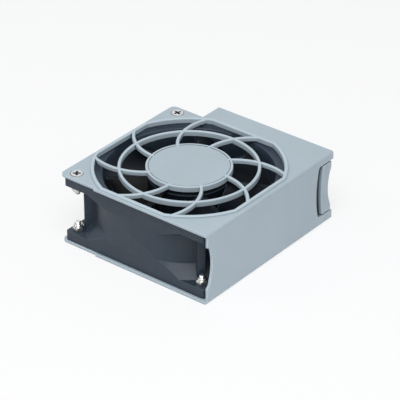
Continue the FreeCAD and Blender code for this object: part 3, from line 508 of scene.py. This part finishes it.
def roundedTop(width, low, high, radius, steps, lowRound):
    # a rib's section from its low left corner over its rounded top: (across, height) pairs
    section = [(lowRound, low), (0, low + lowRound)]
    for centre, first in ((radius, math.pi), (width - radius, math.pi / 2)):
        for step in range(steps + 1):
            turn = first - math.pi / 2 * step / steps
            section.append((centre + radius * math.cos(turn), high - radius + radius * math.sin(turn)))
    return section + [(width, low + lowRound), (width - lowRound, low)]


def makeGuard(size, node):
    # hub cover, ring, spokes and the raised lip round the mouth
    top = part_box(node)[1].z
    grid = bmesh.new()
    steps, sill, pole = size["roundSteps"], size["sill"], size["pole"]
    # the pale strips are the rounded tops, painted paler as a highlight
    pale = range(2, 2 * steps + 3)
    outer = size["coverRadius"]

    rim, under = size["coverRound"], top - size["depth"]
    face = top - size["coverSink"]
    curve = [(outer - rim + rim * math.cos(math.pi / 2 * step / steps),
              top - rim + rim * math.sin(math.pi / 2 * step / steps)) for step in range(steps + 1)]
    inner = outer - size["coverRim"]
    dip, shore = top - size["grooveDepth"], inner - size["grooveWidth"]
    hollow = outer - size["skirtThick"]
    profile = [(pole, top - size["coverThick"]), (hollow, top - size["coverThick"]),
               (hollow, under + sill), (hollow + sill, under), (outer - sill, under),
               (outer, under + sill), *curve,
               (inner, top), (inner - 0.08 * mm, top - 0.06 * mm), (inner - 0.1 * mm, dip),
               (shore + 0.08 * mm, dip), (shore, face - 0.05 * mm), (shore - 0.08 * mm, face),
               (pole, face)]
    # the cover rim's rounded strips take the paler edge material, a painted highlight
    rings = stack(grid, [circleLoop(radius, z) for radius, z in profile], range(6, 8 + steps))
    for ring in (rings[0], rings[-1]):
        grid.faces.new(ring)

    section = roundedTop(size["ringWidth"], under, top - size["ringStep"], size["round"], steps, sill)
    start = size["ringRadius"] - size["ringWidth"]
    stack(grid, [circleLoop(start + across, z) for across, z in section], pale, closed=True)

    def spokePoint(turn, across):
        x, y = size["spokeCentre"]
        reach = size["spokeBend"] + across
        return x + reach * math.cos(turn), y + reach * math.sin(turn)

    first = math.radians(size["spokeStart"])
    section = roundedTop(size["spokeWidth"], top - size["spokeDepth"], top - size["spokeStep"],
                         size["round"], steps, sill)
    for number in range(size["spokeCount"]):
        lean = math.tau * number / size["spokeCount"]

        def turned(point):
            x, y, z = point
            return x * math.cos(lean) - y * math.sin(lean), x * math.sin(lean) + y * math.cos(lean), z

        def reaches(turn):
            # True where the spoke's middle line hasn't come far into the lip yet
            x, y, z = turned((*spokePoint(turn, 0), 0))
            return (max(abs(x), abs(y)) < size["mouthFlat"] + size["spokeSink"]
                    and math.hypot(x, y) < size["mouthRound"] + size["spokeSink"])

        last = first
        while reaches(last):
            last -= 0.002
        loops = []
        for step in range(37):
            turn = first + (last - first) * step / 36
            loops.append([turned((*spokePoint(turn, across - size["spokeWidth"] / 2), z))
                          for across, z in section])
        rings = stack(grid, loops)
        # a spoke's rounded top takes the paler edge material, a painted highlight
        for corner in (corner for ring in rings for corner in ring[3:2 * steps + 3]):
            for face in corner.link_faces:
                face.material_index = 1
        for ring in (rings[0], rings[-1]):
            grid.faces.new(ring)

    width, foot, low = size["lipWidth"], size["foot"], top - size["lipRaise"]
    bottom = low - size["plate"] + size["cutGap"]
    section = roundedTop(width, bottom, top, size["lipRound"], steps, 0)[1:-2]
    section += [(width, low + foot), (width + foot * 0.3, low + foot * 0.3),
                (width + foot, low + 0.02 * mm), (width + foot, bottom)]
    # the lip's rounded top takes the paler edge material, a painted highlight
    stack(grid, [mouthLoop(across, z, size) for across, z in section], range(1, 2 * steps + 2),
          closed=True)
    return meshOf("fingerGuard", grid, 20)


def carved(mesh, cutters):
    # the mesh with each cutter's shape taken away from it
    body = bpy.data.objects.new("carved", mesh)
    bpy.context.scene.collection.objects.link(body)
    tools = []
    for cutter in cutters:
        tool = bpy.data.objects.new("cutter", cutter)
        bpy.context.scene.collection.objects.link(tool)
        cut = body.modifiers.new("cut", "BOOLEAN")
        cut.operation = "DIFFERENCE"
        cut.solver = "EXACT"
        cut.object = tool
        tools.append(tool)
    result = bpy.data.meshes.new_from_object(body.evaluated_get(bpy.context.evaluated_depsgraph_get()))
    for thing in [body, *tools]:
        bpy.data.objects.remove(thing)
    return result


def prism(loopAt, low, high):
    # a closed cutter between two heights of one outline
    grid = bmesh.new()
    for ring in stack(grid, [loopAt(low), loopAt(high)]):
        grid.faces.new(ring)
    return meshOf("prism", grid)


weldGap = 0.004 * mm
crease = math.radians(30)     # an edge at least this sharp is rounded


def weldedMesh(node):
    mesh = bpy.data.meshes.new(node + "Welded")
    grid = bmesh.new()
    grid.from_mesh(nodes[node].data)
    bmesh.ops.remove_doubles(grid, verts=grid.verts, dist=weldGap)
    grid.to_mesh(mesh)
    grid.free()
    return mesh


def joinedFaces(mesh):
    # triangles joined into flat faces
    grid = bmesh.new()
    grid.from_mesh(mesh)
    bmesh.ops.remove_doubles(grid, verts=grid.verts, dist=weldGap)
    bmesh.ops.dissolve_limit(grid, angle_limit=math.radians(0.5), verts=grid.verts, edges=grid.edges)
    grid.to_mesh(mesh)
    grid.free()
    return mesh


fasteners = {
    "headRadius": 3.2 * mm,
    "headDepth": 1.45 * mm,
    "headRim": 0.14 * mm,       # the narrow edge above the countersunk cone
    "shankRadius": 1.5 * mm,
    "threadDepth": 0.24 * mm,
    "threadPitch": 0.5 * mm,
    "threadLength": 7.2 * mm,
    "tipBevel": 0.35 * mm,
    "seatRadius": 3.6 * mm,     # the step in the plate that leaves a gap round the head
    "seatDepth": 0.5 * mm,
    "recessReach": 2.15 * mm,   # half the cross recess's length
    "recessWidth": 0.68 * mm,
    "recessDepth": 1.2 * mm,
    "recessFloor": 0.4,         # share of the recess's mouth that its floor takes
    "nutAcross": 5.5 * mm,      # across the flats
    "nutBevel": 0.45 * mm,
    "collarRadius": 2.4 * mm,
    "collarHeight": 1.0 * mm,
    "around": 48,
}


def spotsOf(side):
    # where the screws of a side stand
    low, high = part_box(side + "_screws")
    inset = fasteners["headRadius"]
    return [(x, y) for x in sorted({round(low.x + inset, 5), round(high.x - inset, 5)})
            for y in sorted({round(low.y + inset, 5), round(high.y - inset, 5)})]


def withoutGuard(node):
    # the carrier's plates and wall, with the mouths cut afresh, the guard left to its own piece
    # and a step cut round each screw head
    top, base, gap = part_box(node)[1].z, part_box(node)[0].z, guard["cutGap"]
    upper = prism(lambda z: mouthLoop(guard["lipWidth"] + gap, z, guard),
                  top - guard["depth"] - gap, top + gap)
    lower = prism(lambda z: mouthLoop(gap, z, guard), base - gap, base + guard["plate"] + gap)
    cutters = [upper, lower]
    for side, low, high in (("top", top - guard["lipRaise"] - fasteners["seatDepth"], top),
                            ("bottom", base - gap, base + fasteners["seatDepth"])):
        for x, y in spotsOf(side):
            cutters.append(prism(lambda z: [(x + u, y + v, z) for u, v, z in
                                            circleLoop(fasteners["seatRadius"], z, 64)], low, high))
    return carved(weldedMesh(node), cutters)


padEdge = {
    "front": 51.2 * mm,        # where the pad's curved front edge meets its ends
    "bend": 90 * mm,
    "thick": 2.8 * mm,
    "low": 6.1 * mm,
    "high": 35.7 * mm,
    "cut": 0.9 * mm,           # the bevel along the pad's hidden front corner
    "past": 0.6 * mm,          # how far its cutter runs past the pad
}


def withBevelledPad(node, size):
    # the latch with that corner cut back, so the gap beside the pad shows the dark inside
    outer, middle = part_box(node)[1].x, (size["low"] + size["high"]) / 2
    grid, over, bend = bmesh.new(), size["past"], size["bend"]
    loops = []
    for step in range(21):
        z = size["low"] - over + (size["high"] - size["low"] + 2 * over) * step / 20
        bulge = (math.sqrt(bend ** 2 - (z - middle) ** 2)
                 - math.sqrt(bend ** 2 - (size["high"] - middle) ** 2))
        back, edge = outer - size["thick"], size["front"] - bulge
        loops.append([(back - over, edge - over, z), (back + size["cut"] + over, edge - over, z),
                      (back - over, edge + size["cut"] + over, z)])
    rings = stack(grid, loops)
    for ring in (rings[0], rings[-1]):
        grid.faces.new(ring)
    return carved(weldedMesh(node), [meshOf("padBevel", grid)])


mouldings = {
    # piece: CAD node, width of its rounded edges, paler finish of those edges, a painted highlight
    "carrierShell": ("carrier_shell", 0.25 * mm, carrierEdgeHighlight),
    "latchLever": ("latch_lever", 0.30 * mm, carrierEdgeHighlight),
    "fanFrame": ("fan_frame", 0.22 * mm, frameEdgeHighlight),
    "fanImpeller": ("impeller", 0.20 * mm, frameEdgeHighlight),
    "connectorHousing": ("connector_housing", 0.15 * mm, frameEdgeHighlight),
}


def softened(name, node, width, edgeHighlightFinish):
    if node == "carrier_shell":
        source = withoutGuard(node)
    elif node == "latch_lever":
        source = withBevelledPad(node, padEdge)
    else:
        source = weldedMesh(node)
    mesh = joinedFaces(source)
    mesh.shade_smooth()
    mesh.set_sharp_from_angle(angle=crease)
    piece = addPiece(name, mesh, node)
    mesh.materials.append(edgeHighlightFinish)
    bevel = piece.modifiers.new("roundedEdges", "BEVEL")
    bevel.width = width
    bevel.segments = 2
    bevel.limit_method = "ANGLE"
    bevel.angle_limit = crease
    bevel.use_clamp_overlap = False
    bevel.harden_normals = True
    # the bevel's faces take the paler edge material, a painted highlight
    bevel.material = 1
    return piece


for name, (node, width, edgeHighlightFinish) in mouldings.items():
    softened(name, node, width, edgeHighlightFinish)
fingerGuard = addPiece("fingerGuard", makeGuard(guard, "carrier_shell"), "carrier_shell")
# slot 1 of the guard is the paler edge material, a painted highlight
fingerGuard.data.materials.append(carrierEdgeHighlight)
print("stage: moulded pieces made")


def ringOf(grid, radiusAt, z, count):
    # a ring of corners whose radius may change round it
    turns = [math.tau * step / count for step in range(count)]
    return [grid.verts.new((radiusAt(t) * math.cos(t), radiusAt(t) * math.sin(t), z)) for t in turns]


def lathe(grid, stops, count):
    # rings through (radius, z) stops, joined in turn
    rings = [ringOf(grid, lambda t, r=radius: r, z, count) for radius, z in stops]
    for low, high in zip(rings, rings[1:]):
        bridge(grid, low, high)
    return rings


def crossOutline(reach, width):
    # a plus with blunt points, counter-clockwise
    arm = [(width, -width), (reach * 0.86, -width), (reach, -width * 0.5), (reach, width * 0.5),
           (reach * 0.86, width)]
    corners = []
    for quarter in range(4):
        c, s = ((1, 0), (0, 1), (-1, 0), (0, -1))[quarter]
        corners += [(x * c - y * s, x * s + y * c) for x, y in arm]
    return corners


def screwMesh(name, size, length):
    # a countersunk screw: its head at z = 0 with a cross recess, and its thread below
    grid = bmesh.new()
    count, radius, pitch = size["around"], size["shankRadius"], size["threadPitch"]
    threadTop = size["threadLength"] - length
    rings = lathe(grid, [(size["headRadius"] - size["headRim"] * 0.6, 0),
                         (size["headRadius"], -size["headRim"]),
                         (radius, -size["headDepth"]), (radius, threadTop)], count)
    above = rings[-1]
    steps = round(size["threadLength"] / pitch * 5)
    for step in range(1, steps + 1):
        z = threadTop - size["threadLength"] * step / steps
        tipShare = max(0.0, 1 - (z + length) / size["tipBevel"])

        def threaded(t):
            phase = (z / pitch + t / math.tau) % 1
            groove = size["threadDepth"] * min(1.0, 2.4 * min(phase, 1 - phase))
            return radius - groove - tipShare * size["tipBevel"] * 0.6

        ring = ringOf(grid, threaded, z, count)
        bridge(grid, ring, above)
        above = ring
    grid.faces.new(above)
    mouth = [grid.verts.new((x, y, 0)) for x, y in crossOutline(size["recessReach"], size["recessWidth"])]
    share = size["recessFloor"]
    floor = [grid.verts.new((v.co.x * share, v.co.y * share, -size["recessDepth"])) for v in mouth]
    # the recess's walls and floor take slot 1, the painted shade
    bridge(grid, mouth, floor, 1)
    grid.faces.new(floor).material_index = 1
    loops = []
    for ring in (rings[0], mouth):
        for index, corner in enumerate(ring):
            after = ring[(index + 1) % len(ring)]
            loops.append(grid.edges.get((corner, after)) or grid.edges.new((corner, after)))
    bmesh.ops.triangle_fill(grid, edges=loops, use_beauty=True, normal=(0, 0, 1))
    return meshOf(name, grid)


def nutMesh(name, size, height):
    # a bevelled hexagon from z = 0 up to a round collar, with the thread's hole through it
    grid = bmesh.new()
    count, flat, hole = size["around"], size["nutAcross"] / 2, size["shankRadius"]
    corner = flat / math.cos(math.pi / 6)

    def ring(share, z):
        limit = corner - (corner - flat * 0.985) * share
        return ringOf(grid, lambda t: min(flat / math.cos(t % (math.pi / 3) - math.pi / 6), limit), z, count)

    top, bevel = height - size["collarHeight"], size["nutBevel"]
    rings = [ring(1.0, 0), ring(0.4, bevel * 0.4), ring(0.0, bevel), ring(0.0, top - bevel),
             ring(0.4, top - bevel * 0.4), ring(1.0, top)]
    for low, high in zip(rings, rings[1:]):
        bridge(grid, low, high)
    collar, edge = size["collarRadius"], 0.2 * mm
    inner = lathe(grid, [(collar, top), (collar, height - edge), (collar - edge, height),
                         (hole + edge, height), (hole, height - edge), (hole, edge), (hole + edge, 0)], count)
    bridge(grid, rings[-1], inner[0])
    bridge(grid, inner[-1], rings[0])
    return meshOf(name, grid)


for side in ("top", "bottom"):
    flip = 0 if side == "top" else math.pi
    (low, high), (under, over) = [[corner.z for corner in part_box(side + kind)]
                                  for kind in ("_screws", "_nuts")]
    for number, (x, y) in enumerate(spotsOf(side), start=1):
        screw = addPiece("%sScrew%d" % (side, number), screwMesh("screw", fasteners, high - low),
                         side + "_screws")
        screw.data.materials.append(recessShade)
        screw.location = (x, y, low if flip else high)
        screw.rotation_euler = (flip, 0, math.radians(37 * number))
        nut = addPiece("%sNut%d" % (side, number), nutMesh("nut", fasteners, over - under), side + "_nuts")
        nut.location = (x, y, under if flip else over)
        nut.rotation_euler = (math.pi - flip, 0, 0)
print("stage: screws and nuts made")


room = {
    "floorHalf": 3.0,
    "floorColour": (0.90, 0.91, 0.93),
    "floorGlow": 0.75,         # share of the floor that shows plain white to the camera
    "skyLight": 0.42,
    "skyColour": (0.97, 0.985, 1.0),
}


def shownRay(finish):
    # 1 where a ray comes from the camera, or from metal or glass
    path = finish.tree.nodes.new("ShaderNodeLightPath")
    camera, glossy, glass = [Wire(finish, path.outputs["Is %s Ray" % kind])
                             for kind in ("Camera", "Glossy", "Transmission")]
    return camera.math("MAXIMUM", glossy).math("MAXIMUM", glass)


class Sky(Finish):
    # the world's nodes, made in the same way
    def __init__(self, world):
        world.use_nodes = True
        self.tree = world.node_tree
        self.shader = self.tree.nodes["Background"]


world = bpy.data.worlds.new("softRoom")
bpy.context.scene.world = world
sky = Sky(world)
sky.set({"Color": room["skyColour"],
         "Strength": shownRay(sky).spread(0.0, 1.0, (room["skyLight"], 1.0))})

half = room["floorHalf"]
floorMesh = bpy.data.meshes.new("floor")
floorMesh.from_pydata([(-half, -half, 0), (half, -half, 0), (half, half, 0), (-half, half, 0)], [],
                      [(0, 1, 2, 3)])
floor = bpy.data.objects.new("floor", floorMesh)
bpy.context.scene.collection.objects.link(floor)
floor.location.z = -0.02 * mm
paper = Finish("floorPaper", {"Base Color": room["floorColour"], "Roughness": 0.9})
glow = paper.node("ShaderNodeEmission", {}, {"Color": (1.0, 1.0, 1.0), "Strength": 1.0})
matt = Wire(paper, paper.shader.outputs[0])
both = paper.node("ShaderNodeMixShader", {}, [shownRay(paper) * room["floorGlow"], matt, glow])
paper.feed(paper.tree.nodes["Material Output"].inputs["Surface"], both)
floorMesh.materials.append(paper.material)

lamps = {
    # name: azimuth, elevation, distance, side length, power
    "topBox": (34, 61, 1.1, 0.6, 7.3),
    "frontBox": (-46, 42, 1.3, 0.6, 1.5),
    "rightBox": (80, 38, 1.5, 0.9, 1.0),
}


def around(azimuth, elevation, distance, target):
    # azimuth 0 looks along +Y from the front, and 90 looks along -X
    a, e = math.radians(azimuth), math.radians(elevation)
    back = Vector((math.sin(a) * math.cos(e), -math.cos(a) * math.cos(e), math.sin(e)))
    return target + back * distance, (-back).to_track_quat("-Z", "Y").to_euler()


middle = Vector((0, 5 * mm, 21.6 * mm))
for name, (azimuth, elevation, distance, side, power) in lamps.items():
    light = bpy.data.lights.new(name, "AREA")
    light.shape = "SQUARE"
    light.size = side
    light.energy = power
    lamp = bpy.data.objects.new(name, light)
    bpy.context.scene.collection.objects.link(lamp)
    lamp.location, lamp.rotation_euler = around(azimuth, elevation, distance, middle)

view = {
    "azimuth": 38.61,
    "elevation": 31.0,
    "distance": 1195.3 * mm,
    "lens": 205.3,
    "shiftX": 0.01171,
    "shiftY": -0.01225,
}
camera = bpy.data.cameras.new("camera")
camera.lens = view["lens"]
camera.shift_x = view["shiftX"]
camera.shift_y = view["shiftY"]
camera.clip_start = 0.05
eye = bpy.data.objects.new("camera", camera)
bpy.context.scene.collection.objects.link(eye)
eye.location, eye.rotation_euler = around(view["azimuth"], view["elevation"], view["distance"], middle)
bpy.context.scene.camera = eye
bpy.context.scene.view_settings.view_transform = "Standard"
print("stage: room, lamps and camera set")
